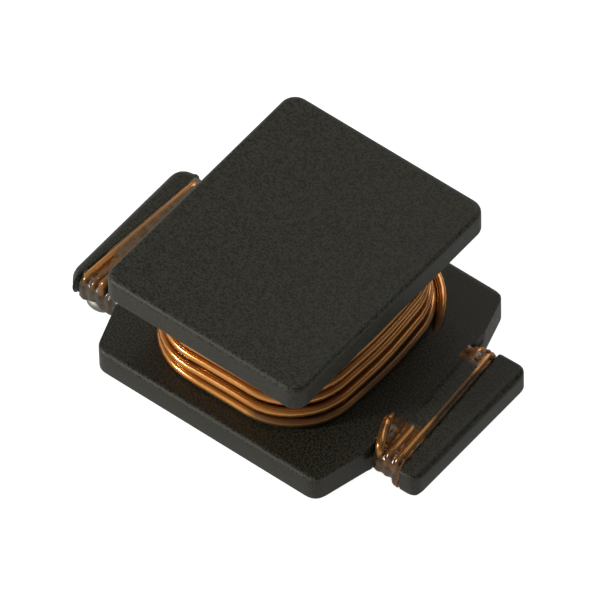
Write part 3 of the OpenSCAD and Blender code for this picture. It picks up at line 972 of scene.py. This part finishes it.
def notch_curtain(side, front):
    """Rings of the resin that hangs in one notch, behind the strands."""
    near_x = notch_starts[side] - overlap
    far_x = ear_inners[side] - groove_slant * front * neck_half + overlap
    back_y = front * (neck_half - curtain_back) + side * ear_stagger
    rings = []
    for step in range(curtain_steps + 1):
        z = curtain_low + curtain_height * step / curtain_steps
        depth = curtain_depth + curtain_belly * smooth_ramp(z, *belly_ramp)
        depth -= curtain_falls[side, front] * smooth_ramp(z, *fall_ramp)
        fillet = ear_fillets[side] * (1 - smooth_ramp(z, *fillet_ramp))
        ring = []
        for i in range(across_steps + 1):
            x = near_x + (far_x - near_x) * i / across_steps
            lobe = 0.5 + 0.5 * math.cos(2 * math.pi * (x - lead_x - strands_out[side]) / strand_pitch)
            y = neck_half - curtain_bed + depth * (1 - lobe_share + lobe_share * lobe)
            y += fillet * smooth_ramp(x, far_x - fillet_run, fillet_run)
            ripple_place = Vector((x * curtain_ripple_scale, z * curtain_ripple_scale,
                                   front * curtain_seed + side))
            y += curtain_ripple * noise.noise(ripple_place)
            ring.append((side * x, front * y + side * ear_stagger, z))
        ring += [(side * far_x, back_y, z), (side * near_x, back_y, z)]
        rings.append(ring)
    return rings


for side, side_name in ((-1, "left"), (1, "right")):
    body = bmesh.new()
    film_layer = body.verts.layers.float.new("film")
    rings, values = groove_fill(side)
    add_loft(body, rings, values, film_layer)
    for front in (-1, 1):
        rings = notch_curtain(side, front)
        add_loft(body, rings, [curtain_films[side, front]] * len(rings), film_layer)
    for bead_x, bead_y, bead_z, bead_radius in beads[side]:
        flattened = Matrix.Scale(bead_flatness, 4, (0, 0, 1))
        placed = Matrix.Translation(Vector((bead_x, bead_y, bead_z)) * MM) @ flattened
        made = bmesh.ops.create_uvsphere(body, u_segments=16, v_segments=10, radius=bead_radius * MM,
                                         matrix=placed)
        for vertex in made["verts"]:
            vertex[film_layer] = 1.0
    varnish_piece = add_mesh_piece("varnish_" + side_name + "_cured", body)
    varnish_piece.data.materials.append(varnishes[side])
    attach(varnish_piece, "root")
    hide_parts("varnish_" + side_name)


# Terminals. Tin solder under each ear: the face bulges over the strands that lie in it, and on the left
# it has crept up round the strands at the front notch.
solder = bpy.data.materials.new("satin_tin_solder")
solder.use_nodes = True
tree = solder.node_tree
tree.nodes.clear()
place = add_node(tree, "ShaderNodeTexCoord").outputs["Object"]
frost = add_node(tree, "ShaderNodeTexNoise", {"Scale": 1 / (0.05 * MM), "Detail": 4.0},
                 {"Vector": place}).outputs["Fac"]
bump = add_node(tree, "ShaderNodeBump", {"Strength": 0.35, "Distance": 0.005 * MM}, {"Height": frost})
tin = add_node(tree, "ShaderNodeBsdfPrincipled", {"Metallic": 1.0},
               {"Base Color": add_colour_mix(tree, frost, "#6c6a64", "#8f8d86"),
                "Roughness": add_map_range(tree, frost, target=(0.42, 0.6)),
                "Normal": bump.outputs["Normal"]})
add_node(tree, "ShaderNodeOutputMaterial", links={"Surface": tin.outputs["BSDF"]})

pad_inner = 1.593
pad_outer = 2.1
pad_end = 0.742
pad_corner = 0.08
pad_edge = 0.05
edge_lift = 0.05
end_lift = 0.03
pad_top = 0.084
recess_top = 0.125
recess_gap = 0.005
ridge_height = 0.008
between_ridges = -0.4
strands_from = -0.06
strands_to = 0.284
pad_shifts = {-1: 0.04, 1: 0.0}
pad_steps = 40
pad_across = 32


def pad_rings(side):
    """Rings of one terminal from front to back: the swollen face below, then the top in the recess."""
    recess_shift = strands_out[side] - pad_shifts[side]
    rings = []
    for step in range(pad_steps + 1):
        share = -1 + 2 * step / pad_steps
        y = pad_end * math.sin(share * math.pi / 2)
        into_corner = max((abs(y) - pad_end + pad_corner) / pad_corner, 0)
        corner = math.sqrt(max(1 - into_corner ** 2, 0.0))
        squeeze = pad_corner * (1 - corner)
        width = pad_outer - pad_inner - 2 * squeeze
        ring = []
        for i in range(pad_across + 1):
            x = pad_inner + squeeze + width * i / pad_across
            from_edge = min(x - pad_inner, pad_outer - x) / pad_edge
            swell = math.sqrt(max(1 - (1 - min(from_edge, 1)) ** 2, 0))
            from_lead = x - lead_x - recess_shift
            over_strand = between_ridges
            if strands_from < from_lead < strands_to:
                over_strand = max(math.cos(2 * math.pi * from_lead / strand_pitch), between_ridges)
            z = ridge_height - ridge_height * over_strand * corner
            z += edge_lift * (1 - swell) + end_lift * (1 - corner)
            ring.append((x, max(z, 0.0)))
        for i in range(pad_across + 1):
            x = pad_outer - squeeze - width * i / pad_across
            in_recess = recess_start + recess_gap < x - recess_shift < recess_end - recess_gap
            ring.append((x, recess_top if in_recess else pad_top))
        rings.append([(side * (x + pad_shifts[side]), y + side * ear_stagger, z) for x, z in ring])
    return rings


for side, side_name in ((-1, "left"), (1, "right")):
    body = bmesh.new()
    add_loft(body, pad_rings(side))
    if side < 0:
        drop_middle = Vector((-1.89, -0.875, 0.085))
        drop_shape = Matrix.Diagonal((0.15, 0.09, 0.075, 1.0))
        placed = Matrix.Translation(drop_middle * MM) @ drop_shape
        bmesh.ops.create_uvsphere(body, u_segments=24, v_segments=14, radius=MM, matrix=placed)
    terminal = add_mesh_piece("terminal_" + side_name + "_soldered", body)
    terminal.data.materials.append(solder)
    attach(terminal, "root")
    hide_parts("terminal_" + side_name)


visual_low = [float("inf")] * 3
visual_high = [float("-inf")] * 3
for piece in (ferrite_core, coil, *(o for o in scene.objects if o.name.endswith(("_cured", "_soldered")))):
    for vertex in piece.data.vertices:
        for axis in range(3):
            visual_low[axis] = min(visual_low[axis], vertex.co[axis])
            visual_high[axis] = max(visual_high[axis], vertex.co[axis])
